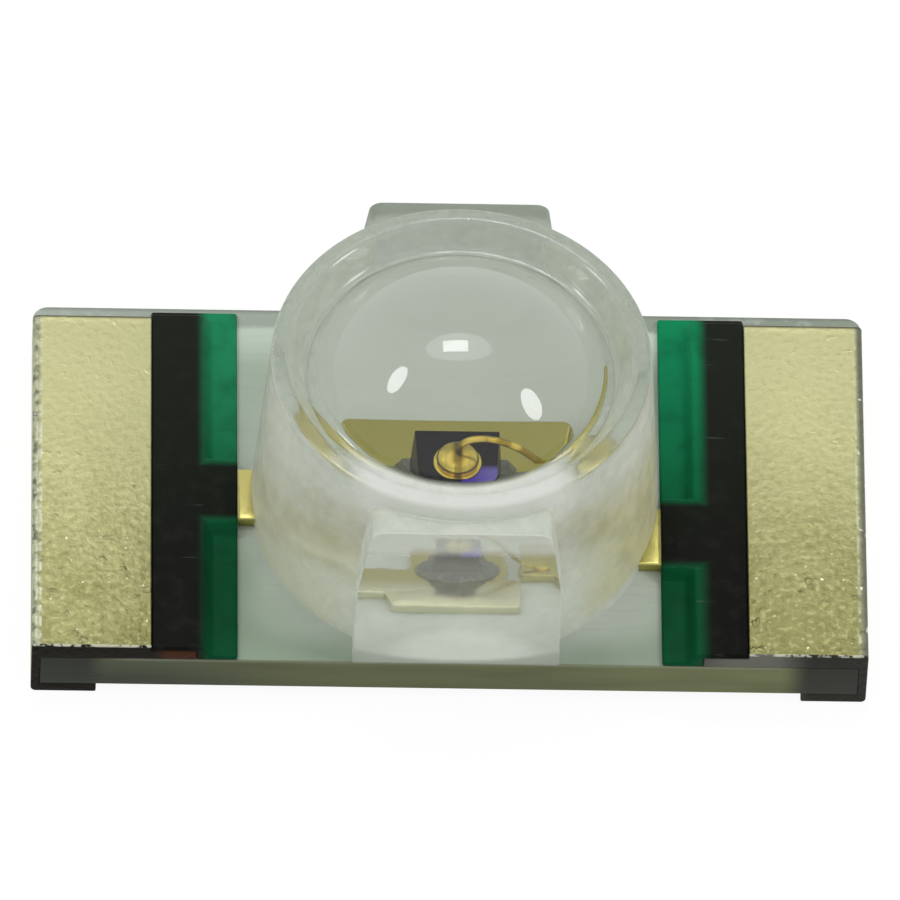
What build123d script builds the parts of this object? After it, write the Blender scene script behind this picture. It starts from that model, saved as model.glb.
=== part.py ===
from build123d import *
from math import atan2, cos, radians, sin, sqrt
import os

# Chip light-emitting diode with a clear moulded lens. Millimetres, +Z up.
# X runs from the cathode end to the anode end, Y runs from the front cut to the back cut.
# The origin lies under the middle of the board, on the plane of the solder faces.
# The pieces are drawn with the lens axis at Y = 0 and moved to that origin when they are saved.

# Overall height, from the solder faces to the top of the dome
TOTAL_HEIGHT = 1.285

# Board, with a bare margin of laminate behind the plated ends
BOARD_LENGTH = 3.2
BOARD_WIDTH = 1.7
LAMINATE_THICKNESS = 0.16
BACK_MARGIN = 0.1
BACK_CORNER_RADIUS = 0.06

# Plated copper
TOP_FOIL = 0.05
PAD_BUILD_UP = 0.03
BOTTOM_FOIL = 0.05
END_PLATING = 0.035
END_CORNER_RADIUS = 0.02
TERMINAL_BOTTOM_LENGTH = 0.25
TERMINAL_OVERLAP = 0.03

# Cathode conductor: the neck and the pad that carries the chip
CATHODE_NECK_WIDTH = 0.24
CATHODE_NECK_Y = -0.034
DIE_PAD_LEFT = -0.22
DIE_PAD_RIGHT = 0.27
DIE_PAD_FRONT = -0.29
DIE_PAD_BACK = 0.297
DIE_PAD_LEFT_STEP = 0.07
DIE_PAD_FLARE = 0.03
LAND_GAP = 0.055
LAND_FRONT = 0.04

# Anode conductor: the neck, the track and the land that takes the wire
ANODE_NECK_WIDTH = 0.27
ANODE_NECK_Y = -0.21
ANODE_NECK_REACH = 0.25
LAND_WIDTH = 0.19
LAND_BACK = 0.36
LAND_CORNER_CUT = 0.06
TRACK_FRONT_DROP = 0.19
TRACK_BACK_RISE = 0.03
PATTERN_CORNER_RADIUS = 0.015

# Solder mask, placed outwards from the foot of the lens, first over laminate and then over copper
MASK_LENS_CLEARANCE = 0.005
MASK_ON_LAMINATE = 0.158
MASK_LENGTH = 0.331
MASK_THICKNESS = 0.02
MASK_STEP_LENGTH = 0.03
MASK_BACK_REACH = 0.07
MARK_LENGTH = 0.95
MARK_WIDTH = 0.85
MARK_POINT = 0.35
MARK_THICKNESS = 0.02

# Chip and its joints
CHIP_SIDE = 0.172
CHIP_HEIGHT = 0.13
CHIP_X = 0.029
CHIP_Y = 0.077
PASTE_UNDER_CHIP = 0.014
PASTE_LENGTH = 0.33
PASTE_WIDTH = 0.25
PASTE_EDGE_CUT = 0.009
PASTE_CLIMB = 0.028
PASTE_CLIMB_WIDTH = 0.012
ELECTRODE_DIAMETER = 0.104
ELECTRODE_THICKNESS = 0.005

# Bond wire
WIRE_DIAMETER = 0.016
BALL_DIAMETER = 0.096
BALL_HEIGHT = 0.024
BALL_EDGE_CUT = 0.008
WIRE_RISE = 0.06
WIRE_SHOULDER_RUN = 0.07
WIRE_LANDING_X = 0.355
WIRE_LANDING_Y = 0.1
WIRE_BEND_RADIUS = 0.03
STITCH_LENGTH = 0.05
STITCH_WIDTH = 0.036
STITCH_THICKNESS = 0.008

# Lens
LENS_X = 0.022
LENS_FOOT_RADIUS = 0.785
RIM_BELOW_DOME = 0.195
RIM_RADIUS = 0.727
RIM_FLAT = 0.068
RIM_EDGE_RADIUS = 0.018
RIM_BACK_RUN = 0.083
GROOVE_DEPTH = 0.12
GROOVE_RADIUS = 0.04
STUB_BELOW_RIM = 0.07
STUB_TOP_WIDTH = 0.68
STUB_FOOT_WIDTH = 0.79
STUB_SHOULDER_WIDTH = 0.775
STUB_SHOULDER_DROP = 0.36
STUB_EDGE_RADIUS = 0.045

# Levels worked out from the sizes above
laminate_bottom = BOTTOM_FOIL
laminate_top = laminate_bottom + LAMINATE_THICKNESS
copper_top = laminate_top + TOP_FOIL
pad_top = copper_top + PAD_BUILD_UP
chip_bottom = copper_top + PASTE_UNDER_CHIP
chip_top = chip_bottom + CHIP_HEIGHT
electrode_top = chip_top + ELECTRODE_THICKNESS
ball_top = electrode_top + BALL_HEIGHT
half_length = BOARD_LENGTH / 2
half_width = (BOARD_WIDTH - BACK_MARGIN) / 2
board_back = half_width + BACK_MARGIN
laminate_end = half_length - END_PLATING
mask_inner_edge = LENS_X + LENS_FOOT_RADIUS + MASK_LENS_CLEARANCE
mask_outer_edge = mask_inner_edge + MASK_LENGTH
terminal_top_edge = mask_inner_edge + MASK_ON_LAMINATE
terminal_join = terminal_top_edge + TERMINAL_OVERLAP


def block(x0, x1, y0, y1, z0, z1):
    """A box between two opposite corners."""
    size = (x1 - x0, y1 - y0, z1 - z0)
    centre = ((x0 + x1) / 2, (y0 + y1) / 2, (z0 + z1) / 2)
    return Pos(*centre) * Box(*size)


def flat_piece(outline, z0, thickness):
    """A plate from the closed outline, standing on height z0."""
    face = make_face(Polyline(*outline, close=True))
    return Pos(0, 0, z0) * extrude(face, amount=thickness)


def rounded_outline(piece, radius):
    """The plate with its upright corners rounded."""
    return fillet(piece.edges().filter_by(Axis.Z), radius)


def make_board():
    """Laminate between the end platings, with its rounded bare margin behind them."""
    core = block(-laminate_end, laminate_end, -half_width, half_width, laminate_bottom, laminate_top)
    margin = block(-half_length, half_length, half_width, board_back, laminate_bottom, laminate_top)
    back_corners = margin.edges().filter_by(Axis.Z).group_by(Axis.Y)[-1]
    return core + fillet(back_corners, BACK_CORNER_RADIUS)


def make_end_cap():
    """Plated right end that wraps the board: top pad, end wall and solder face in one."""
    top = block(terminal_top_edge, half_length, -half_width, half_width, laminate_top, copper_top)
    pad = block(mask_outer_edge, half_length, -half_width, half_width, laminate_top, pad_top)
    wall = block(laminate_end, half_length, -half_width, half_width, 0, pad_top)
    under_edge = half_length - TERMINAL_BOTTOM_LENGTH
    under = block(under_edge, half_length, -half_width, half_width, 0, laminate_bottom)
    cap = top + pad + wall + under
    outer = cap.edges().filter_by(Axis.Y).group_by(Axis.X)[-1]
    return fillet(outer, END_CORNER_RADIUS)


def make_cathode_terminal():
    """Left end with its neck and the pad under the chip, stepped in on both sides at the back."""
    neck_front = CATHODE_NECK_Y - CATHODE_NECK_WIDTH / 2
    neck_back = CATHODE_NECK_Y + CATHODE_NECK_WIDTH / 2
    left_step = DIE_PAD_LEFT + DIE_PAD_LEFT_STEP
    right_step = DIE_PAD_RIGHT - LAND_GAP
    outline = [
        (DIE_PAD_LEFT - DIE_PAD_FLARE, neck_front),
        (DIE_PAD_LEFT, DIE_PAD_FRONT),
        (DIE_PAD_RIGHT, DIE_PAD_FRONT),
        (DIE_PAD_RIGHT, LAND_FRONT - LAND_GAP),
        (right_step, LAND_FRONT - LAND_GAP),
        (right_step, DIE_PAD_BACK),
        (left_step, DIE_PAD_BACK),
        (left_step, neck_back),
        (-terminal_join, neck_back),
        (-terminal_join, neck_front),
    ]
    conductor = flat_piece(outline, laminate_top, TOP_FOIL)
    return mirror(make_end_cap(), Plane.YZ) + rounded_outline(conductor, PATTERN_CORNER_RADIUS)


def make_anode_terminal():
    """Right end with its neck, the slanting track and the land for the wire."""
    neck_front = ANODE_NECK_Y - ANODE_NECK_WIDTH / 2
    neck_back = ANODE_NECK_Y + ANODE_NECK_WIDTH / 2
    neck_end = terminal_top_edge - ANODE_NECK_REACH
    land_right = DIE_PAD_RIGHT + LAND_WIDTH
    outline = [
        (neck_end, neck_front),
        (land_right, LAND_FRONT - TRACK_FRONT_DROP),
        (land_right - LAND_CORNER_CUT, LAND_FRONT),
        (DIE_PAD_RIGHT, LAND_FRONT),
        (DIE_PAD_RIGHT, LAND_BACK),
        (land_right, LAND_BACK),
        (land_right, LAND_FRONT + TRACK_BACK_RISE),
        (neck_end, neck_back),
        (terminal_join, neck_back),
        (terminal_join, neck_front),
    ]
    conductor = flat_piece(outline, laminate_top, TOP_FOIL)
    return make_end_cap() + rounded_outline(conductor, PATTERN_CORNER_RADIUS)


def make_mask_strip(neck_y, neck_width):
    """Right strip of mask: low over the laminate, high over the copper, humped over the neck."""
    low = laminate_top + MASK_THICKNESS
    high = copper_top + MASK_THICKNESS
    section = [
        (mask_inner_edge, laminate_top),
        (mask_inner_edge, low),
        (terminal_top_edge - 2 * MASK_STEP_LENGTH, low),
        (terminal_top_edge - MASK_STEP_LENGTH, high),
        (mask_outer_edge, high),
        (mask_outer_edge, laminate_top),
    ]
    strip_face = make_face(Plane.XZ.offset(half_width) * Polyline(*section, close=True))
    strip = extrude(strip_face, amount=2 * half_width + MASK_THICKNESS, dir=(0, 1, 0))
    mask_back = half_width + MASK_BACK_REACH
    back_edge = block(mask_inner_edge, mask_outer_edge, half_width, mask_back, laminate_top, low)
    hump_half = neck_width / 2 + MASK_STEP_LENGTH
    hump_section = [
        (neck_y - hump_half - MASK_STEP_LENGTH, laminate_top),
        (neck_y - hump_half - MASK_STEP_LENGTH, low),
        (neck_y - hump_half, high),
        (neck_y + hump_half, high),
        (neck_y + hump_half + MASK_STEP_LENGTH, low),
        (neck_y + hump_half + MASK_STEP_LENGTH, laminate_top),
    ]
    hump_length = terminal_top_edge - mask_inner_edge
    hump_face = make_face(Plane.YZ.offset(mask_inner_edge) * Polyline(*hump_section, close=True))
    return strip + back_edge + extrude(hump_face, amount=hump_length, dir=(1, 0, 0))


def make_underside_mark():
    """Arrow of solder mask under the board that points to the cathode end."""
    outline = [
        (MARK_LENGTH / 2, -MARK_WIDTH / 2),
        (MARK_LENGTH / 2, MARK_WIDTH / 2),
        (-MARK_LENGTH / 2 + MARK_POINT, MARK_WIDTH / 2),
        (-MARK_LENGTH / 2, 0),
        (-MARK_LENGTH / 2 + MARK_POINT, -MARK_WIDTH / 2),
    ]
    return flat_piece(outline, laminate_bottom - MARK_THICKNESS, MARK_THICKNESS)


def make_chip():
    """Square semiconductor die."""
    return Pos(CHIP_X, CHIP_Y, (chip_bottom + chip_top) / 2) * Box(CHIP_SIDE, CHIP_SIDE, CHIP_HEIGHT)


def make_electrode():
    """Round metal contact on top of the die."""
    centre = (chip_top + electrode_top) / 2
    return Pos(CHIP_X, CHIP_Y, centre) * Cylinder(ELECTRODE_DIAMETER / 2, ELECTRODE_THICKNESS)


def make_die_paste(chip):
    """Silver-filled paste: a low oval puddle under the die that climbs a little up its sides."""
    puddle = extrude(Ellipse(PASTE_LENGTH / 2, PASTE_WIDTH / 2), amount=PASTE_UNDER_CHIP)
    puddle = chamfer(puddle.edges().group_by(Axis.Z)[-1], PASTE_EDGE_CUT)
    foot = CHIP_SIDE + 4 * PASTE_CLIMB_WIDTH
    brim = CHIP_SIDE + 2 * PASTE_CLIMB_WIDTH
    foot_face = Pos(CHIP_X, CHIP_Y, chip_bottom - PASTE_EDGE_CUT) * Rectangle(foot, foot)
    brim_face = Pos(CHIP_X, CHIP_Y, chip_bottom + PASTE_CLIMB) * Rectangle(brim, brim)
    collar = loft([foot_face, brim_face])
    return Pos(CHIP_X, CHIP_Y, copper_top) * puddle + collar - chip


def make_bond_wire():
    """Gold wire: ball on the contact, loop over the edge of the die, flat stitch on the land."""
    run_x = WIRE_LANDING_X - CHIP_X
    run_y = WIRE_LANDING_Y - CHIP_Y
    span = sqrt(run_x ** 2 + run_y ** 2)
    heading = (run_x / span, run_y / span, 0)
    radius = WIRE_DIAMETER / 2
    loop_top = ball_top + WIRE_RISE
    landing = copper_top + radius
    upright = Plane(origin=(CHIP_X, CHIP_Y, 0), x_dir=heading, z_dir=(heading[1], -heading[0], 0))
    points = [
        (0, ball_top - radius),
        (0, loop_top),
        (WIRE_SHOULDER_RUN, loop_top),
        (span - STITCH_LENGTH, landing),
        (span, landing),
    ]
    path = upright * FilletPolyline(*points, radius=WIRE_BEND_RADIUS)
    section = Plane(origin=path @ 0, z_dir=path % 0) * Circle(radius)
    wire = sweep(section, path=path)
    ball = Cylinder(BALL_DIAMETER / 2, BALL_HEIGHT)
    ball = chamfer(ball.edges().filter_by(GeomType.CIRCLE), BALL_EDGE_CUT)
    ball = Pos(CHIP_X, CHIP_Y, electrode_top + BALL_HEIGHT / 2) * ball
    stitch_middle = upright * Pos(span - STITCH_LENGTH / 2, copper_top + STITCH_THICKNESS / 2, 0)
    stitch = stitch_middle * Box(STITCH_LENGTH, STITCH_THICKNESS, STITCH_WIDTH)
    return wire + ball + stitch


def make_lens(inner_pieces):
    """Clear resin: tapered drum with a raised rim, a dome in its middle and a cut gate at each side."""
    foot = laminate_top
    rim_top = TOTAL_HEIGHT - RIM_BELOW_DOME
    base_top = rim_top - GROOVE_DEPTH
    stub_top = rim_top - STUB_BELOW_RIM
    shoulder = stub_top - STUB_SHOULDER_DROP
    rim_inner_radius = RIM_RADIUS - RIM_FLAT
    base_radius = rim_inner_radius - RIM_BACK_RUN
    dome_rise = TOTAL_HEIGHT - base_top
    dome_radius = (base_radius ** 2 + dome_rise ** 2) / (2 * dome_rise)
    dome_centre = TOTAL_HEIGHT - dome_radius
    middle_angle = atan2(base_top - dome_centre, base_radius) / 2 + radians(45)
    dome_middle = (dome_radius * cos(middle_angle), dome_centre + dome_radius * sin(middle_angle))
    wall = Polyline(
        (0, foot),
        (LENS_FOOT_RADIUS, foot),
        (RIM_RADIUS, rim_top),
        (rim_inner_radius, rim_top),
        (base_radius, base_top),
    )
    dome = ThreePointArc((base_radius, base_top), dome_middle, (0, TOTAL_HEIGHT))
    axis = Line((0, TOTAL_HEIGHT), (0, foot))
    section = make_face([wall, dome, axis])
    outer_corners = [corner for corner in section.vertices() if corner.X > base_radius]
    rim_corners = [corner for corner in outer_corners if corner.Y > rim_top - RIM_EDGE_RADIUS]
    section = fillet(rim_corners, RIM_EDGE_RADIUS)
    groove_corner = section.vertices().sort_by_distance((base_radius, base_top))[0]
    section = fillet(groove_corner, GROOVE_RADIUS)
    body = Pos(LENS_X, 0, 0) * revolve(Plane.XZ * section, Axis.Z)
    stub_outline = [
        (LENS_X - STUB_FOOT_WIDTH / 2, foot),
        (LENS_X + STUB_FOOT_WIDTH / 2, foot),
        (LENS_X + STUB_SHOULDER_WIDTH / 2, shoulder),
        (LENS_X + STUB_TOP_WIDTH / 2, stub_top),
        (LENS_X - STUB_TOP_WIDTH / 2, stub_top),
        (LENS_X - STUB_SHOULDER_WIDTH / 2, shoulder),
    ]
    stub_face = make_face(Plane.XZ * Polyline(*stub_outline, close=True))
    runner = extrude(stub_face, amount=half_width, both=True)
    runner = fillet(runner.edges().filter_by(Axis.Y).group_by(Axis.Z)[-1], STUB_EDGE_RADIUS)
    core = Cylinder(rim_inner_radius, rim_top - foot, align=(Align.CENTER, Align.CENTER, Align.MIN))
    body += runner - Pos(LENS_X, 0, foot) * core
    for piece in inner_pieces:
        body -= piece
    return body


def save(name, piece):
    """Write one piece under its node name, moved so that the board's middle is at the origin."""
    export_step(Pos(0, -BACK_MARGIN / 2, 0) * piece, f"parts/{name}.step")


os.makedirs("parts", exist_ok=True)

board = make_board()
cathode_terminal = make_cathode_terminal()
anode_terminal = make_anode_terminal()
left_strip = mirror(make_mask_strip(CATHODE_NECK_Y, CATHODE_NECK_WIDTH), Plane.YZ)
right_strip = make_mask_strip(ANODE_NECK_Y, ANODE_NECK_WIDTH)
chip = make_chip()
electrode = make_electrode()
die_paste = make_die_paste(chip)
bond_wire = make_bond_wire()
inner_pieces = [cathode_terminal, anode_terminal, chip, electrode, die_paste, bond_wire]

save("board", board)
save("cathode_terminal", cathode_terminal)
save("anode_terminal", anode_terminal)
save("cathode_mask", left_strip - cathode_terminal)
save("anode_mask", right_strip - anode_terminal)
save("underside_mark", make_underside_mark())
save("chip", chip)
save("chip_electrode", electrode)
save("die_paste", die_paste)
save("bond_wire", bond_wire)
save("lens", make_lens(inner_pieces))
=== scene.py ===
from math import atan2, cos, pi, radians, sin, sqrt

import bpy
from mathutils import Matrix, Vector


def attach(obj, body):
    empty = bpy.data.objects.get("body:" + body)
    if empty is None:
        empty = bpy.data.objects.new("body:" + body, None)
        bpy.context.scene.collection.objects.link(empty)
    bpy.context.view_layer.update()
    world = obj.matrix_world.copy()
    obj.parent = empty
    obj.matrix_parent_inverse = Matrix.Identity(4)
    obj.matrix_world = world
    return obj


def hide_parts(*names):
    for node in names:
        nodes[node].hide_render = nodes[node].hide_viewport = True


# Chip light-emitting diode: looks. Pieces are modelled in millimetres in the frame of the
# construction drawing, whose Y = 0 is the lens axis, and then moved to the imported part's origin
# and brought to metres. Z is up and the board lies flat.

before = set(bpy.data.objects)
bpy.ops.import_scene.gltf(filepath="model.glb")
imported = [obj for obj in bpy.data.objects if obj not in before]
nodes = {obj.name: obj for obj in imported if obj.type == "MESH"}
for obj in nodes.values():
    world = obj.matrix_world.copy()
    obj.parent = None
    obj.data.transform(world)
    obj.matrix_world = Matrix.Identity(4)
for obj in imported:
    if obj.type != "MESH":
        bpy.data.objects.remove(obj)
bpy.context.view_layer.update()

MM = 0.001

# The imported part's origin lies this far behind the lens axis
ORIGIN_BEHIND = 0.05

# Board and copper levels
HALF_LENGTH = 1.6
LAMINATE_TOP = 0.21
COPPER_TOP = 0.26
PAD_TOP = 0.29
HALF_WIDTH = 0.8
CATHODE_NECK_Y = -0.034
CATHODE_NECK_HALF = 0.12
ANODE_NECK_Y = -0.21
ANODE_NECK_HALF = 0.135

# Chip, contact and wire
CHIP_X = 0.029
CHIP_Y = 0.077
CHIP_TOP = 0.404
CONTACT_RADIUS = 0.052
CONTACT_TOP = 0.409
WIRE_RADIUS = 0.008
LANDING_X = 0.355
LANDING_Y = 0.1

# Lens
LENS_X = 0.022
LENS_SIDES = 224
FOOT_SINK = 0.003
FOOT_RADIUS = 0.785
RIM_RADIUS = 0.727
RIM_TOP = 1.09
RIM_INNER = 0.659
RIM_EDGE_RADIUS = 0.018
BASE_RADIUS = 0.576
BASE_TOP = 0.97
LENS_TOP = 1.285
GROOVE_RADIUS = 0.04
GROOVE_STEPS = 8
DOME_RINGS = 48
GATE_TOP = 1.02
GATE_SHOULDER = 0.66
GATE_TOP_WIDTH = 0.68
GATE_SHOULDER_WIDTH = 0.775
GATE_FOOT_WIDTH = 0.79
GATE_EDGE_RADIUS = 0.045

# Softened edges of the pieces that are copied from the frame
LAMINATE_EDGE = 0.003
PLATING_EDGE = 0.006
LACQUER_EDGE = 0.012

# Light: what the surround casts, how white the floor shows, and the lamps
WHITE = (1, 1, 1, 1)
SURROUND_LIGHT = 0.6
FLOOR_WHITE = 1.04
FLOOR_GLOW_SHARE = 0.9
LAMP_RADIANCE = 9
GLOW_RADIANCE = 2
LAMP_DISTANCE = 60
LAMP_AIM_HEIGHT = 0.6


def clear_selection():
    """Nothing stays selected, so that an operator reaches only what is picked next."""
    if bpy.context.object and bpy.context.object.mode != "OBJECT":
        bpy.ops.object.mode_set(mode="OBJECT")
    bpy.ops.object.select_all(action="DESELECT")


def take(piece):
    """Make the piece the only one selected, and the active one."""
    clear_selection()
    piece.select_set(True)
    bpy.context.view_layer.objects.active = piece


def edit(piece):
    """Open the piece in edit mode with nothing in it selected."""
    take(piece)
    bpy.ops.object.mode_set(mode="EDIT")
    bpy.ops.mesh.select_all(action="DESELECT")


def pick(piece, kind, wanted):
    """Select the vertices, edges or faces whose middle passes the test, in edit mode."""
    bpy.ops.mesh.select_mode(type=kind)
    bpy.ops.mesh.select_all(action="DESELECT")
    bpy.ops.object.mode_set(mode="OBJECT")
    mesh = piece.data
    if kind == "VERT":
        for vertex in mesh.vertices:
            vertex.select = wanted(vertex.co)
    elif kind == "EDGE":
        for edge in mesh.edges:
            ends = [mesh.vertices[index].co for index in edge.vertices]
            edge.select = wanted(*ends)
    else:
        for face in mesh.polygons:
            face.select = wanted(face.center, face.normal)
    bpy.ops.object.mode_set(mode="EDIT")


def finish_modifier(piece, kind, **settings):
    """Add a modifier with these settings and apply it."""
    take(piece)
    modifier = piece.modifiers.new(kind.title(), kind)
    for name, value in settings.items():
        setattr(modifier, name, value)
    bpy.ops.object.modifier_apply(modifier=modifier.name)


def settle(piece, name, finish, smooth_angle=30, scale=MM):
    """Bring a finished piece to metres at the origin, name it, and give it body, slot and finish."""
    take(piece)
    bpy.ops.object.transform_apply(location=True, rotation=True, scale=True)
    if scale != 1:
        piece.data.transform(Matrix.Scale(scale, 4) @ Matrix.Translation((0, -ORIGIN_BEHIND, 0)))
    bpy.ops.object.shade_smooth_by_angle(angle=radians(smooth_angle))
    piece.name = name
    piece.data.name = name
    piece.data.materials.clear()
    piece.data.materials.append(finish)
    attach(piece, "root")
    return piece


class Value:
    """A socket that adds Math nodes to its tree when it is used in an expression."""

    def __init__(self, wiring, socket):
        self.wiring = wiring
        self.socket = socket

    def maths(self, operation, *others):
        inputs = dict(enumerate((self, *others)))
        return self.wiring.node("ShaderNodeMath", {"operation": operation}, inputs)

    def __add__(self, other):
        return self.maths("ADD", other)

    __radd__ = __add__

    def __mul__(self, other):
        return self.maths("MULTIPLY", other)

    __rmul__ = __mul__

    def __sub__(self, other):
        return self.maths("SUBTRACT", other)

    def __rsub__(self, other):
        return (self * -1) + other

    def size(self):
        return self.maths("ABSOLUTE")

    def over(self, other):
        return self.maths("MAXIMUM", other)

    def between(self, low, high):
        """0 at low, 1 at high and smooth from one to the other."""
        return self.wiring.node(
            "ShaderNodeMapRange",
            {"interpolation_type": "SMOOTHSTEP"},
            {"Value": self, "From Min": low, "From Max": high},
        )


class Wiring:
    """A node tree, and the one method that adds a node to it."""

    def __init__(self, tree):
        self.tree = tree

    def feed(self, socket, value):
        if isinstance(value, Value):
            self.tree.links.new(value.socket, socket)
        else:
            socket.default_value = value

    def node(self, kind, settings=None, inputs=None, output=0):
        made = self.tree.nodes.new(kind)
        for name, value in (settings or {}).items():
            setattr(made, name, value)
        for name, value in (inputs or {}).items():
            self.feed(made.inputs[name], value)
        return Value(self, made.outputs[output])

    def seen_ray(self):
        """1 for a ray from the camera, one that is mirrored and one that came through the resin."""
        camera = self.node("ShaderNodeLightPath", output="Is Camera Ray")
        paths = camera.socket.node.outputs
        through = Value(self, paths["Is Transmission Ray"])
        return camera.over(through.over(Value(self, paths["Is Glossy Ray"])))


class Finish(Wiring):
    """One material: its shader, its place in the drawing in millimetres, and its patterns."""

    def __init__(self, name):
        self.material = bpy.data.materials.new(name)
        self.material.use_nodes = True
        super().__init__(self.material.node_tree)
        self.shader = self.tree.nodes["Principled BSDF"]
        place = self.node("ShaderNodeTexCoord", output="Object")
        self.place = self.node(
            "ShaderNodeVectorMath", {"operation": "MULTIPLY_ADD"},
            {0: place, 1: (1000, 1000, 1000), 2: (0, ORIGIN_BEHIND, 0)},
        )
        split = self.node("ShaderNodeSeparateXYZ", {}, {0: self.place}, output="X")
        self.x = split
        self.y = Value(self, split.socket.node.outputs["Y"])
        self.z = Value(self, split.socket.node.outputs["Z"])

    def blend(self, factor, first, second):
        """The first colour where the factor is 0 and the second where it is 1."""
        return self.node(
            "ShaderNodeMix", {"data_type": "RGBA"}, {0: factor, 6: first, 7: second}, output=2
        )

    def grain(self, scale, detail=3.0, stretch=(1, 1, 1)):
        """Noise with this many waves to the millimetre; a small stretch draws it out on that axis."""
        spot = self.place
        if stretch != (1, 1, 1):
            spot = self.node("ShaderNodeVectorMath", {"operation": "MULTIPLY"}, {0: spot, 1: stretch})
        return self.node(
            "ShaderNodeTexNoise", {}, {"Vector": spot, "Scale": scale, "Detail": detail}
        )

    def relief(self, height, depth):
        """A bump of this depth in millimetres."""
        inputs = {"Height": height, "Distance": depth * MM, "Strength": 1.0}
        return self.node("ShaderNodeBump", {}, inputs)

    def spot(self, x, y, radius):
        """1 at this place on the board and 0 past the radius, with a soft edge."""
        across, along = self.x - x, self.y - y
        distance = (across * across + along * along).maths("SQRT")
        return 1 - distance.between(radius * 0.5, radius)

    def from_lens(self):
        """Distance from the lens axis."""
        across = self.x - LENS_X
        return (across * across + self.y * self.y).maths("SQRT")

    def cover(self, factor, layer):
        """Lay this shader over the material's own where the factor is 1."""
        own = Value(self, self.shader.outputs[0])
        both = self.node("ShaderNodeMixShader", {}, {0: factor, 1: own, 2: layer})
        self.feed(self.tree.nodes["Material Output"].inputs["Surface"], both)

    def set(self, **values):
        """Give the shader's sockets, named with underscores for spaces, these values or links."""
        for name, value in values.items():
            self.feed(self.shader.inputs[name.replace("_", " ")], value)
        return self.material


def shade(red, green, blue):
    """A colour as it looks on a screen, from 0 to 255, in the shader's linear values."""
    parts = []
    for level in (red, green, blue):
        part = level / 255
        parts.append(part / 12.92 if part <= 0.04045 else ((part + 0.055) / 1.055) ** 2.4)
    return (*parts, 1.0)


def laminate_finish():
    """Glass-fibre board: pale top, painted lighter under the lens as the light that comes through it,
    with painted light and shade outside it, and a sawn front that darkens to its ends.
    """
    finish = Finish("laminate")
    cloud = finish.grain(3.0, 4.0).between(0.35, 0.65)
    fibre = finish.grain(60.0, 2.0, (0.12, 1, 1))
    radius = finish.from_lens()
    past_lens = radius.between(0.74, 0.8)
    # Under the lens the top is painted lighter as the light that comes through the resin, with a
    # painted pool of light under the front gate
    inside = finish.blend(cloud, shade(214, 221, 213), shade(226, 232, 226))
    inside = finish.blend(finish.x.between(0.0, 0.5) * 0.5, inside, shade(198, 206, 194))
    inside = finish.blend(finish.spot(0.05, -0.72, 0.34), inside, shade(250, 252, 248))
    # Outside the lens the top is painted darker at the front and lighter at the back, as painted shade
    # and painted light
    front = finish.blend(finish.x.between(-0.8, 0.8), shade(144, 162, 142), shade(150, 164, 147))
    back = finish.blend(finish.x.between(-0.8, 0.8), shade(172, 187, 171), shade(152, 168, 152))
    back = finish.blend(finish.y.between(0.58, 0.8), back, shade(202, 216, 201))
    outside = finish.blend(finish.y.between(-0.2, 0.5), front, back)
    # Painted light: paler close to the lens, with two painted pools of light in front beside it
    lit = 1 - radius.between(0.78, 0.92)
    outside = finish.blend(lit * 0.7, outside, shade(184, 192, 182))
    outside = finish.blend(finish.spot(0.62, -0.45, 0.32) * 0.5, outside, shade(208, 216, 205))
    outside = finish.blend(finish.spot(-0.55, -0.5, 0.28) * 0.4, outside, shade(196, 206, 194))
    upper = finish.z.between(0.1, 0.2)
    outside = finish.blend(upper, shade(150, 163, 146), outside)
    top = finish.blend(upper * (1 - past_lens), outside, inside)
    streak = fibre.between(0.45, 0.75) * (0.04 + past_lens * 0.11)
    top = finish.blend(streak, top, shade(150, 160, 148))
    margin = finish.y.between(HALF_WIDTH, HALF_WIDTH + 0.03)
    dust = finish.grain(22.0, 4.0)
    rim = finish.blend(finish.x.between(-1.0, 1.0), shade(168, 177, 166), shade(146, 156, 142))
    rim = finish.blend(dust.between(0.5, 0.7) * 0.4, rim, shade(196, 200, 194))
    rim = finish.blend(finish.y.between(0.875, 0.9) * 0.6, rim, shade(112, 116, 110))
    top = finish.blend(margin, top, rim)
    strand = finish.grain(30.0, 3.0, (0.06, 1, 0.5))
    side = finish.blend(finish.x.between(-1.3, -0.3), shade(60, 66, 59), shade(107, 113, 80))
    side = finish.blend(finish.x.between(0, 1.0), side, shade(120, 126, 88))
    side = finish.blend(finish.z.between(0.05, 0.2) * 0.35, side, shade(124, 130, 98))
    side = finish.blend(strand.between(0.35, 0.75) * 0.35, side, shade(80, 84, 60))
    side = finish.blend(finish.x.between(1.26, 1.38), side, shade(56, 57, 50))
    side = finish.blend(finish.x.between(-1.4, -1.3), shade(56, 59, 52), side)
    lit_edge = finish.z.between(0.19, 0.212) * (1 - finish.x.size().between(1.2, 1.35))
    side = finish.blend(lit_edge * 0.5, side, shade(150, 156, 136))
    sawn = (finish.y * -1).between(HALF_WIDTH - 0.007, HALF_WIDTH - 0.003)
    colour = finish.blend(sawn, top, side)
    return finish.set(
        Base_Color=colour,
        Roughness=0.55 - sawn * 0.1,
        Specular_IOR_Level=0.1,
        Normal=finish.relief(fibre * 0.3 + strand * sawn, 0.003),
    )


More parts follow.
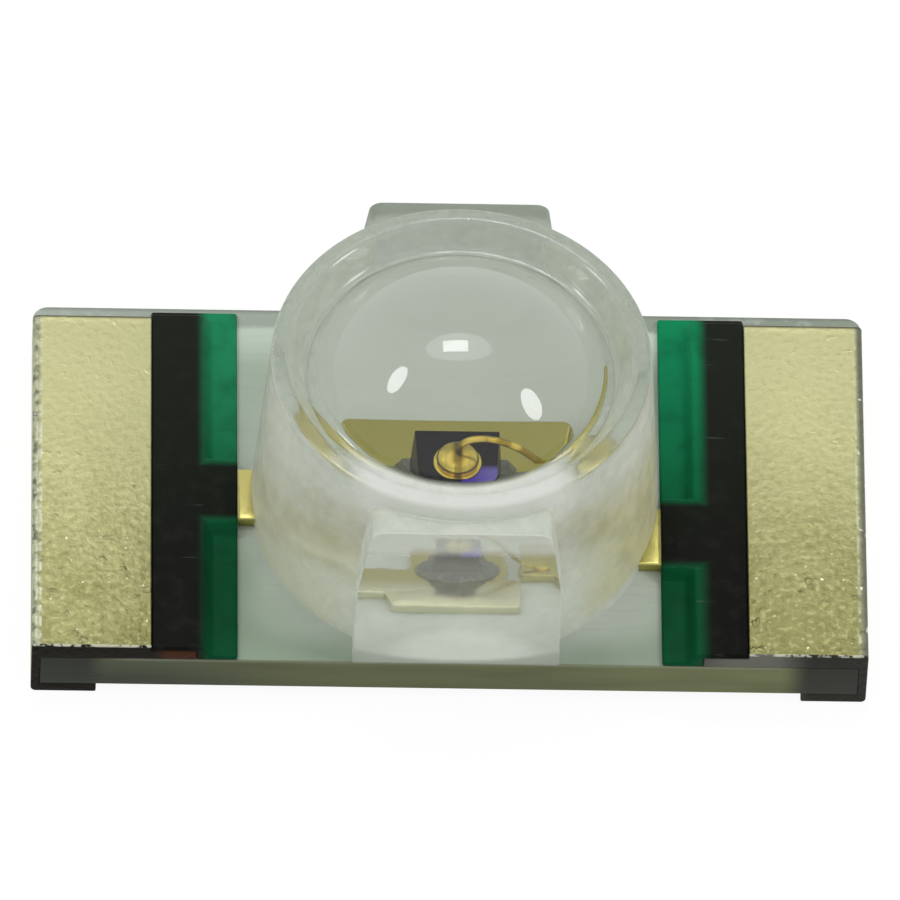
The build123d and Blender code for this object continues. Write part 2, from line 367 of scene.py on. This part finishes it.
def gold_finish():
    """Thin gold on copper, creased outside and smooth in the resin, with painted shade, light and
    glints; grey ends, dark where sawn.
    """
    finish = Finish("gold_plate")
    covered = 1 - finish.x.size().between(0.8, 0.82)
    cloud = finish.grain(5.0, 4.0).between(0.35, 0.65)
    pits = finish.grain(34.0, 4.0)
    dents = finish.grain(20.0, 2.0).between(0.6, 0.72) * finish.grain(5.0, 1.0).between(0.5, 0.62)
    # Outside the resin the gold is painted darker towards the front, and darker still at the right
    # front, as painted shade
    outer = finish.blend(finish.y.between(-0.8, 0.8), shade(121, 120, 77), shade(180, 179, 135))
    outer = finish.blend(cloud * 0.15, outer, shade(190, 188, 142))
    outer = finish.blend(pits.between(0.6, 0.75) * 0.3, outer, shade(128, 126, 80))
    shaded_right_front = finish.x.between(0.9, 1.2) * (1 - finish.y.between(-0.6, 0.4))
    outer = finish.blend(shaded_right_front * 0.35, outer, shade(104, 102, 62))
    flecks = finish.grain(38.0, 5.0)
    creased = 1 - finish.y.between(-0.6, 0.5) * 0.7
    outer = finish.blend(flecks.between(0.53, 0.63) * creased * 0.2, outer, shade(200, 198, 150))
    outer = finish.blend((1 - flecks.between(0.37, 0.46)) * creased * 0.3, outer, shade(92, 88, 46))
    # Painted glints: sparse bright specks on the front half of the gold
    glint = finish.grain(48.0, 3.0).between(0.68, 0.76) * (1 - finish.y.between(-0.5, 0.2))
    outer = finish.blend(glint, outer, shade(212, 210, 180))
    # In the resin the front, under the gate, is painted pale as painted light, and the part behind it
    # olive as painted shade
    lit_under_gate = 1 - finish.y.between(-0.12, 0.0)
    inner = finish.blend(lit_under_gate, shade(202, 191, 107), shade(226, 223, 186))
    inner = finish.blend(finish.x.size().between(0.35, 0.55), inner, shade(188, 179, 110))
    colour = finish.blend(covered, outer, inner)
    # The grey band at each end is the worn, burred plated edge, partly painted as a reflection of its
    # rounding, with painted white glints and a pale broken line along it
    worn = finish.grain(30.0, 4.0)
    along = finish.x.size()
    ends = along.between(HALF_LENGTH - 0.038, HALF_LENGTH - 0.015)
    ends = ends * finish.z.between(PAD_TOP - 0.06, PAD_TOP - 0.03)
    light = finish.blend(finish.x.between(-1, 1), shade(172, 176, 148), shade(112, 115, 95))
    grey = finish.blend(worn.between(0.3, 0.6), shade(104, 107, 90), light)
    grey = finish.blend(finish.grain(24.0, 3.0).between(0.64, 0.7), grey, shade(206, 208, 198))
    colour = finish.blend(ends, colour, grey)
    line = along.between(HALF_LENGTH - 0.04, HALF_LENGTH - 0.034)
    line = line * (1 - along.between(HALF_LENGTH - 0.029, HALF_LENGTH - 0.023))
    line = line * worn.between(0.4, 0.58) * (0.6 - finish.x.between(-1, 1) * 0.3)
    colour = finish.blend(line, colour, shade(196, 198, 184))
    # Dark line along the back edge: the etched edge with a painted shade line
    etched_edge_shade = finish.y.between(HALF_WIDTH - 0.018, HALF_WIDTH - 0.004)
    colour = finish.blend(etched_edge_shade, colour, shade(84, 84, 64))
    sawn = (finish.y * -1).between(HALF_WIDTH - 0.0075, HALF_WIDTH - 0.0055)
    cut = finish.blend(finish.x.between(0.8, 1.1), shade(33, 31, 26), shade(114, 114, 106))
    cut = finish.blend(finish.x.between(1.22, 1.4), cut, shade(52, 52, 48))
    cut = finish.blend(finish.spot(-1.0, -0.8, 0.14) * 0.3, cut, shade(120, 62, 30))
    # Bright specks on the burr along the sawn top edge: painted glints on a real burr
    burr_glint = finish.z.between(PAD_TOP - 0.011, PAD_TOP - 0.004)
    burr_glint = burr_glint * finish.grain(40.0, 3.0).between(0.4, 0.55)
    cut = finish.blend(burr_glint, cut, shade(204, 204, 184))
    colour = finish.blend(sawn, colour, cut)
    rough_edge = (finish.y * -1).between(0.74, 0.79) + ends + finish.y.between(0.76, 0.79) * 0.5
    wear = 0.35 + (1 - finish.y.between(-0.7, 0.4)) * 0.65
    height = (pits + dents * 0.7) * wear * (1 - covered) + rough_edge * worn
    return finish.set(
        Base_Color=colour,
        Metallic=1 - sawn,
        Roughness=0.42 + pits * 0.12 - covered * 0.28,
        Specular_IOR_Level=0.05,
        Normal=finish.relief(height, 0.006),
    )


def mask_finish(neck_y, neck_half, black_from, back, front):
    """Green lacquer, painted lighter at the back and darker at the front as light and shade, that looks
    black where copper lies under it.
    """
    finish = Finish("solder_mask")
    over_terminal = finish.x.size().between(black_from - 0.032, black_from + 0.028)
    from_neck = (finish.y - neck_y).size()
    over_neck = 1 - from_neck.between(neck_half - 0.01, neck_half + 0.035)
    covered = over_terminal.over(over_neck)
    # The green and the black are painted lighter at the back and darker at the front, as painted light
    # and painted shade
    green = finish.blend(finish.y.between(-0.5, 0.9), front, back)
    green = finish.blend(finish.grain(9.0, 4.0).between(0.42, 0.75) * 0.35, green, shade(8, 52, 32))
    black = finish.blend(finish.y.between(-0.8, 0.8), shade(16, 17, 14), shade(31, 35, 28))
    black = finish.blend(finish.grain(14.0, 4.0).between(0.45, 0.75) * 0.4, black, shade(38, 40, 35))
    scratch = finish.grain(34.0, 2.0, (0.12, 1, 1)).between(0.7, 0.8)
    colour = finish.blend(covered, green, black)
    colour = finish.blend(scratch * 0.2, colour, shade(110, 128, 112))
    return finish.set(
        Base_Color=colour,
        Roughness=0.4,
        Specular_IOR_Level=0.03,
        Normal=finish.relief(finish.grain(30.0, 3.0), 0.001),
    )


def chip_finish():
    """Nearly black semiconductor with a grey front and a violet corner on its top."""
    finish = Finish("semiconductor")
    across = finish.x.between(CHIP_X, CHIP_X + 0.02)
    along = 1 - finish.y.between(CHIP_Y - 0.02, CHIP_Y)
    top = finish.z.between(CHIP_TOP - 0.003, CHIP_TOP - 0.001)
    speckle = finish.grain(60.0, 3.0).between(0.4, 0.7)
    dark = finish.blend(speckle, shade(6, 5, 6), shade(18, 16, 18))
    paler = finish.x.between(CHIP_X + 0.02, CHIP_X + 0.08)
    violet = finish.blend(paler, shade(70, 54, 165), shade(112, 100, 186))
    face = finish.blend(across * along, dark, violet)
    upwards = finish.z.between(0.33, CHIP_TOP - 0.006)
    side = finish.blend(upwards, shade(112, 114, 106), shade(62, 62, 60))
    front = 1 - finish.y.between(CHIP_Y - 0.084, CHIP_Y - 0.08)
    side = finish.blend(front, shade(34, 34, 32), side)
    colour = finish.blend(top, side, face)
    return finish.set(Base_Color=colour, Roughness=0.3, Specular_IOR_Level=0.03)


def bright_gold_finish():
    """Soft pure gold of the wire, its ball and the contact, with two painted highlights on the ball and
    a painted shade between them.
    """
    finish = Finish("contact_gold")
    colour = finish.blend(
        finish.grain(28.0, 2.0).between(0.4, 0.65), shade(160, 136, 34), shade(236, 208, 92)
    )
    near_ball = finish.spot(CHIP_X, CHIP_Y, 0.08)
    beside = (finish.x - CHIP_X).size()
    # Painted reflections: two bright lobes on the ball, with a painted shade down the middle where the
    # wire rises
    lobe_highlight = beside.between(0.006, 0.02) * near_ball
    stripe_shade = (1 - beside.between(0.004, 0.012)) * near_ball
    colour = finish.blend(lobe_highlight, colour, shade(214, 190, 92))
    colour = finish.blend(stripe_shade * 0.7, colour, shade(110, 88, 26))
    return finish.set(Base_Color=colour, Metallic=1.0, Roughness=0.25)


def paste_finish():
    """Grey silver-filled glue with a fine skin."""
    finish = Finish("silver_paste")
    flakes = finish.grain(60.0, 3.0)
    colour = finish.blend(flakes.between(0.35, 0.7), shade(100, 102, 92), shade(130, 132, 120))
    return finish.set(
        Base_Color=colour, Metallic=0.1, Roughness=0.6, Normal=finish.relief(flakes, 0.0005)
    )


def resin_finish():
    """Moulded resin: clear and polished on the dome, satin and milky from the groove outwards, with
    painted light at the front and painted gold reflections in the wall.
    """
    finish = Finish("clear_resin")
    radius = finish.from_lens()
    satin = radius.between(BASE_RADIUS - 0.036, BASE_RADIUS - 0.011)
    wall = radius.between(RIM_RADIUS - 0.01, RIM_RADIUS + 0.005)
    foot = 1 - finish.z.between(LAMINATE_TOP, 0.5)
    front_cut = (finish.y * -1).between(HALF_WIDTH - 0.01, HALF_WIDTH - 0.004)
    outwards = radius.between(RIM_INNER - 0.009, RIM_INNER + 0.011)
    rough = 0.02 + (satin * 0.03 + outwards * 0.08 + wall * 0.14) * (1 - front_cut * 0.8)
    mottle = finish.grain(11.0, 5.0).between(0.35, 0.7)
    tab = finish.y.between(0.7, 0.76)
    beside = (finish.x - LENS_X).size()
    # Painted light: a bright white crescent on the front of the groove and rim
    crescent_glare = satin * (1 - radius.between(RIM_RADIUS - 0.007, RIM_RADIUS + 0.023))
    crescent_glare = crescent_glare * (1 - finish.y.between(-0.5, -0.3)) * (1 - beside.between(0.33, 0.5))
    milk = satin * 0.1 + mottle * satin * 0.18 + outwards * 0.1 + wall * 0.24 + crescent_glare * 0.75
    flank = wall * beside.between(0.5, 0.7) * (1 - finish.y.between(-0.2, 0.2))
    milk = milk + tab * 0.4 + foot * wall * 0.25 + flank * 0.25
    window = (finish.spot(-0.52, -0.35, 0.16) + finish.spot(0.52, -0.5, 0.14)) * (1 - wall)
    milk = milk * (1 - window * 0.55)
    veil = front_cut * finish.z.between(0.87, 0.93) * 0.55
    # The milky skin is painted pale at the front and paler on the front wall as painted light, and
    # greyer at the back
    colour = finish.blend(finish.y.between(-0.6, 0.0), shade(222, 226, 215), shade(178, 187, 174))
    lit_front_wall = wall * (1 - finish.y.between(-0.5, 0.45))
    colour = finish.blend(lit_front_wall, colour, shade(238, 241, 231))
    low_wall = wall * (1 - finish.z.between(0.5, 1.0))
    # Painted reflections of the gold pads: yellow patches low on the wall at the front left and front
    # right
    colour = finish.blend(finish.spot(-0.6, -0.4, 0.46) * low_wall * 0.5, colour, shade(226, 222, 170))
    gold_glow_right = finish.spot(0.7, -0.36, 0.4) * low_wall * finish.z.between(0.22, 0.3)
    colour = finish.blend(gold_glow_right * 0.8, colour, shade(228, 218, 150))
    colour = finish.blend(tab, colour, shade(134, 141, 131))
    colour = finish.blend(crescent_glare, colour, shade(244, 246, 243))
    skin = finish.node(
        "ShaderNodeBsdfPrincipled", {},
        {"Base Color": colour, "Roughness": 0.4, "Specular IOR Level": 0.2},
    )
    glow = finish.node("ShaderNodeBsdfTranslucent", {}, {"Color": shade(226, 231, 222)})
    cloudy = finish.node("ShaderNodeMixShader", {}, {0: 0.4, 1: skin, 2: glow})
    finish.cover(milk * (1 - front_cut * 0.7) + veil, cloudy)
    return finish.set(
        Base_Color=shade(249, 252, 247),
        Roughness=rough,
        IOR=1.52,
        Transmission_Weight=1.0,
        Normal=finish.relief(finish.grain(14.0, 2.0) * wall, 0.001),
    )


def ring(cap_radius, next_radius, rise):
    """Pull the selected round cap up by the rise and scale it to the next radius."""
    bpy.ops.mesh.extrude_region_move(TRANSFORM_OT_translate={"value": (0, 0, rise)})
    ratio = next_radius / cap_radius
    bpy.ops.transform.resize(value=(ratio, ratio, 1), center_override=(LENS_X, 0, 0))


def lens_profile():
    """Radius and height of each ring above the foot: rim, its slope, rounded groove, dome."""
    rise = LENS_TOP - BASE_TOP
    dome_radius = (BASE_RADIUS**2 + rise**2) / (2 * rise)
    dome_centre = Vector((0, LENS_TOP - dome_radius))
    corner = Vector((BASE_RADIUS, BASE_TOP))
    slope = (Vector((RIM_INNER, RIM_TOP)) - corner).normalized()
    beside = Vector((-slope.y, slope.x)) * GROOVE_RADIUS
    start = corner + beside - dome_centre
    reach = (dome_radius + GROOVE_RADIUS) ** 2 - start.length_squared
    along = sqrt(start.dot(slope) ** 2 + reach) - start.dot(slope)
    centre = corner + slope * along + beside
    first = atan2(-beside.y, -beside.x)
    to_dome = dome_centre - centre
    last = atan2(to_dome.y, to_dome.x)
    profile = [(RIM_RADIUS, RIM_TOP), (RIM_INNER, RIM_TOP)]
    for step in range(GROOVE_STEPS + 1):
        angle = first + (last - first) * step / GROOVE_STEPS
        profile.append((centre.x + GROOVE_RADIUS * cos(angle), centre.y + GROOVE_RADIUS * sin(angle)))
    begin = last + pi
    for step in range(1, DOME_RINGS):
        angle = begin + (pi / 2 - begin) * step / DOME_RINGS
        profile.append((dome_radius * cos(angle), dome_centre.y + dome_radius * sin(angle)))
    return profile


def make_lens():
    """Drum with a raised rim and a dome, grown ring by ring from one disc, with a gate on two sides."""
    clear_selection()
    bpy.ops.mesh.primitive_circle_add(
        vertices=LENS_SIDES,
        radius=FOOT_RADIUS,
        fill_type="NGON",
        location=(LENS_X, 0, LAMINATE_TOP - FOOT_SINK),
    )
    lens = bpy.context.object
    bpy.ops.object.transform_apply(location=True, rotation=True, scale=True)
    bpy.ops.object.mode_set(mode="EDIT")
    bpy.ops.mesh.select_all(action="SELECT")
    radius, height = FOOT_RADIUS, LAMINATE_TOP - FOOT_SINK
    for next_radius, next_height in lens_profile():
        ring(radius, next_radius, next_height - height)
        radius, height = next_radius, next_height
    bpy.ops.mesh.extrude_region_move(TRANSFORM_OT_translate={"value": (0, 0, LENS_TOP - height)})
    bpy.ops.mesh.merge(type="CENTER")
    pick(lens, "EDGE", lambda a, b: a.z > RIM_TOP - 0.001 and ring_edge(a, b) > RIM_INNER - 0.001)
    bpy.ops.mesh.bevel(offset=RIM_EDGE_RADIUS, segments=6, affect="EDGES")
    bpy.ops.mesh.select_all(action="SELECT")
    bpy.ops.mesh.normals_make_consistent(inside=False)
    gates = make_gates()
    finish_modifier(lens, "BOOLEAN", operation="UNION", object=gates, solver="EXACT")
    bpy.data.objects.remove(gates)
    return lens


def ring_edge(a, b):
    """Radius of the ring that this edge lies on, or 0 if its ends are not on one ring."""
    axis = Vector((LENS_X, 0, 0))
    first, second = (a - axis).xy.length, (b - axis).xy.length
    return first if abs(first - second) < 0.0005 and abs(a.z - b.z) < 0.0005 else 0


def make_gates():
    """The cut runner at the front and the back, hollowed where the drum stands."""
    clear_selection()
    foot = LAMINATE_TOP - FOOT_SINK
    bpy.ops.mesh.primitive_cube_add(size=1, location=(LENS_X, 0, (foot + GATE_SHOULDER) / 2))
    runner = bpy.context.object
    runner.scale = (GATE_FOOT_WIDTH, 2 * HALF_WIDTH, GATE_SHOULDER - foot)
    bpy.ops.object.transform_apply(location=True, rotation=True, scale=True)
    edit(runner)
    pick(runner, "FACE", lambda centre, normal: normal.z > 0.5)
    narrow = GATE_SHOULDER_WIDTH / GATE_FOOT_WIDTH
    bpy.ops.transform.resize(value=(narrow, 1, 1), center_override=(LENS_X, 0, 0))
    rise = GATE_TOP - GATE_SHOULDER
    bpy.ops.mesh.extrude_region_move(TRANSFORM_OT_translate={"value": (0, 0, rise)})
    narrow = GATE_TOP_WIDTH / GATE_SHOULDER_WIDTH
    bpy.ops.transform.resize(value=(narrow, 1, 1), center_override=(LENS_X, 0, 0))
    top = GATE_TOP - 0.001
    pick(runner, "EDGE", lambda a, b: a.z > top and b.z > top and abs(a.x - b.x) < 0.001)
    bpy.ops.mesh.bevel(offset=GATE_EDGE_RADIUS, segments=6, affect="EDGES")
    clear_selection()
    bpy.ops.mesh.primitive_cylinder_add(
        vertices=LENS_SIDES, radius=RIM_INNER, depth=3, location=(LENS_X, 0, 0)
    )
    core = bpy.context.object
    finish_modifier(runner, "BOOLEAN", operation="DIFFERENCE", object=core, solver="EXACT")
    bpy.data.objects.remove(core)
    return runner


def make_wire():
    """Gold wire: a loop from the ball on the contact to the flattened stitch on the land."""
    direction = Vector((LANDING_X - CHIP_X, LANDING_Y - CHIP_Y, 0)).normalized()
    start = Vector((CHIP_X, CHIP_Y, 0))
    reach = (Vector((LANDING_X, LANDING_Y, 0)) - start).length
    route = [
        (0, CONTACT_TOP + 0.01),
        (0, CONTACT_TOP + 0.045),
        (0.01, CONTACT_TOP + 0.075),
        (0.07, CONTACT_TOP + 0.08),
        (0.15, CONTACT_TOP + 0.035),
        (reach - 0.09, COPPER_TOP + 0.035),
        (reach - 0.04, COPPER_TOP + 0.008),
        (reach + 0.02, COPPER_TOP + 0.006),
    ]
    curve = bpy.data.curves.new("wire_route", "CURVE")
    curve.dimensions = "3D"
    spline = curve.splines.new("NURBS")
    spline.points.add(len(route) - 1)
    for point, (along, height) in zip(spline.points, route):
        spot = start + direction * along
        point.co = (spot.x, spot.y, height, 1)
    spline.order_u = 4
    spline.use_endpoint_u = True
    spline.resolution_u = 16
    curve.bevel_depth = WIRE_RADIUS
    curve.bevel_resolution = 6
    curve.use_fill_caps = True
    wire = bpy.data.objects.new("wire_route", curve)
    bpy.context.scene.collection.objects.link(wire)
    take(wire)
    bpy.ops.object.convert(target="MESH")
    wire = bpy.context.object
    clear_selection()
    bpy.ops.mesh.primitive_uv_sphere_add(
        segments=48, ring_count=24, radius=1, location=(CHIP_X, CHIP_Y, CONTACT_TOP + 0.009)
    )
    ball = bpy.context.object
    ball.scale = (0.046, 0.044, 0.026)
    clear_selection()
    bpy.ops.mesh.primitive_uv_sphere_add(
        segments=32, ring_count=16, radius=1, location=(LANDING_X, LANDING_Y, COPPER_TOP + 0.002)
    )
    stitch = bpy.context.object
    stitch.scale = (0.03, 0.018, 0.006)
    take(wire)
    ball.select_set(True)
    stitch.select_set(True)
    bpy.ops.object.join()
    return wire


def make_contact():
    """Round contact with a soft edge."""
    clear_selection()
    bpy.ops.mesh.primitive_cylinder_add(
        vertices=64, radius=CONTACT_RADIUS, depth=CONTACT_TOP - CHIP_TOP,
        location=(CHIP_X, CHIP_Y, (CHIP_TOP + CONTACT_TOP) / 2),
    )
    contact = bpy.context.object
    bpy.ops.object.transform_apply(location=True, rotation=True, scale=True)
    edit(contact)
    pick(contact, "EDGE", lambda a, b: a.z > CHIP_TOP + 0.004 and b.z > CHIP_TOP + 0.004)
    bpy.ops.mesh.bevel(offset=0.002, segments=3, affect="EDGES")
    clear_selection()
    return contact


def dressed_copy(node, edge_radius):
    """A copy of a CAD piece with its facets merged and its edges softened."""
    source = nodes[node]
    piece = source.copy()
    piece.data = source.data.copy()
    for key in list(piece.keys()):
        del piece[key]
    bpy.context.scene.collection.objects.link(piece)
    piece.parent = None
    edit(piece)
    bpy.ops.mesh.select_all(action="SELECT")
    bpy.ops.mesh.remove_doubles(threshold=1e-7)
    bpy.ops.mesh.dissolve_limited(angle_limit=radians(1))
    bpy.ops.object.mode_set(mode="OBJECT")
    finish_modifier(
        piece, "BEVEL", width=edge_radius * MM, segments=3, limit_method="ANGLE",
        angle_limit=radians(25), use_clamp_overlap=True,
    )
    return piece


gold = gold_finish()
pure_gold = bright_gold_finish()

lens = settle(make_lens(), "clear_lens", resin_finish(), 24)
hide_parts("lens")
wire = settle(make_wire(), "gold_wire", pure_gold, 60)
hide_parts("bond_wire")
contact = settle(make_contact(), "contact_disc", pure_gold, 40)
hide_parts("chip_electrode")

board = settle(
    dressed_copy("board", LAMINATE_EDGE), "laminate_sheet", laminate_finish(), scale=1
)
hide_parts("board")
for end in ("cathode", "anode"):
    plating = dressed_copy(f"{end}_terminal", PLATING_EDGE)
    settle(plating, f"{end}_plating", gold, scale=1)
    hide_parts(f"{end}_terminal")

# Each strip's neck, where it turns black, and its green at the back and at the front, with painted
# light at the back and painted shade at the front
lacquers = {
    "cathode": (CATHODE_NECK_Y, CATHODE_NECK_HALF, 0.945, shade(37, 140, 96), shade(12, 75, 45)),
    "anode": (ANODE_NECK_Y, ANODE_NECK_HALF, 0.98, shade(19, 134, 88), shade(9, 78, 46)),
}
for end, look in lacquers.items():
    lacquer = dressed_copy(f"{end}_mask", LACQUER_EDGE)
    settle(lacquer, f"{end}_lacquer", mask_finish(*look), 65, 1)
    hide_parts(f"{end}_mask")

# The mark has no copper over it, so its neck lies far off and it is green all over
mark_green = shade(26, 112, 74)
kept_nodes = {
    "chip": chip_finish(),
    "die_paste": paste_finish(),
    "underside_mark": mask_finish(9.0, 0.1, 1.0, mark_green, mark_green),
}
for node, finish in kept_nodes.items():
    nodes[node].data.materials.clear()
    nodes[node].data.materials.append(finish)


def make_floor():
    """Pale floor that the camera sees as white, with the shadow kept."""
    clear_selection()
    bpy.ops.mesh.primitive_plane_add(size=2, location=(0, 0, 0))
    floor = bpy.context.object
    floor.name = "floor"
    finish = Finish("floor")
    glow = finish.node("ShaderNodeEmission", {}, {"Color": WHITE, "Strength": FLOOR_WHITE})
    finish.set(Base_Color=(0.8, 0.8, 0.8, 1), Roughness=0.9)
    finish.cover(finish.seen_ray() * FLOOR_GLOW_SHARE, glow)
    floor.data.materials.append(finish.material)


def make_world():
    """Plain white surround, at full white where it is seen directly, mirrored or through the resin."""
    world = bpy.data.worlds.new("surround")
    bpy.context.scene.world = world
    world.use_nodes = True
    wiring = Wiring(world.node_tree)
    cast = wiring.node("ShaderNodeBackground", {}, {"Color": WHITE, "Strength": SURROUND_LIGHT})
    shown = wiring.node("ShaderNodeBackground", {}, {"Color": WHITE, "Strength": 1.0})
    both = wiring.node("ShaderNodeMixShader", {}, {0: wiring.seen_ray(), 1: cast, 2: shown})
    wiring.feed(wiring.tree.nodes["World Output"].inputs["Surface"], both)


def make_lamp(name, shape, direction, long_axis, length, width, radiance):
    """Lamp that looks at the lens from this direction, its length along its long axis."""
    back = Vector(direction).normalized()
    along = Vector(long_axis)
    along = (along - back * along.dot(back)).normalized()
    across = along.cross(back)
    area = length * width * MM * MM * (1 if shape == "RECTANGLE" else pi / 4)
    lamp = bpy.data.lights.new(name, "AREA")
    lamp.shape = shape
    lamp.size = width * MM
    lamp.size_y = length * MM
    lamp.energy = radiance * pi * area
    place = (Vector((0, -ORIGIN_BEHIND, LAMP_AIM_HEIGHT)) + back * LAMP_DISTANCE) * MM
    holder = bpy.data.objects.new(name, lamp)
    holder.matrix_world = turned(across, along, back, place)
    holder.visible_transmission = False
    bpy.context.scene.collection.objects.link(holder)


def turned(right, up, back, place):
    """Matrix of an object with these three axes, standing at this place."""
    return Matrix(
        (
            (right.x, up.x, back.x, place.x),
            (right.y, up.y, back.y, place.y),
            (right.z, up.z, back.z, place.z),
            (0, 0, 0, 1),
        )
    )


def make_camera():
    """Camera at the photograph's viewing angle."""
    azimuth, elevation, roll = radians(-2.8621), radians(52.3306), radians(3.1054)
    distance = 96.4397
    pixels_per_mm = 261.2271
    target = Vector((-0.0078, -0.0776 - ORIGIN_BEHIND, 0.61))
    back = Vector((sin(azimuth) * cos(elevation), -cos(azimuth) * cos(elevation), sin(elevation)))
    level = Vector((cos(azimuth), sin(azimuth), 0))
    upright = back.cross(level)
    right = level * cos(roll) + upright * sin(roll)
    up = upright * cos(roll) - level * sin(roll)
    place = (target + back * distance) * MM
    camera = bpy.data.cameras.new("camera")
    camera.sensor_width = 36
    camera.lens = 36 * pixels_per_mm * distance / 900
    camera.clip_start = 0.001
    camera.clip_end = 10
    holder = bpy.data.objects.new("camera", camera)
    holder.matrix_world = turned(right, up, back, place)
    bpy.context.scene.collection.objects.link(holder)
    bpy.context.scene.camera = holder


make_floor()
make_world()
make_lamp(
    "overhead_lamp", "RECTANGLE", (-0.0479, 0.3778, 0.9247), (1, 0, 0), 14.5, 8.5, LAMP_RADIANCE
)
make_lamp(
    "overhead_glow", "ELLIPSE", (-0.0142, 0.369, 0.9293), (1, 0, 0), 39.8, 21.7, GLOW_RADIANCE
)
make_lamp(
    "left_lamp", "ELLIPSE", (-0.6217, 0.0881, 0.7783), (0.54, 0.768, 0.344), 18.4, 10.7,
    LAMP_RADIANCE,
)
make_lamp(
    "right_lamp", "ELLIPSE", (0.7136, -0.1248, 0.6893), (0.419, -0.712, -0.563), 20.5, 13.2,
    LAMP_RADIANCE,
)
make_camera()
bpy.context.scene.view_settings.view_transform = "Standard"
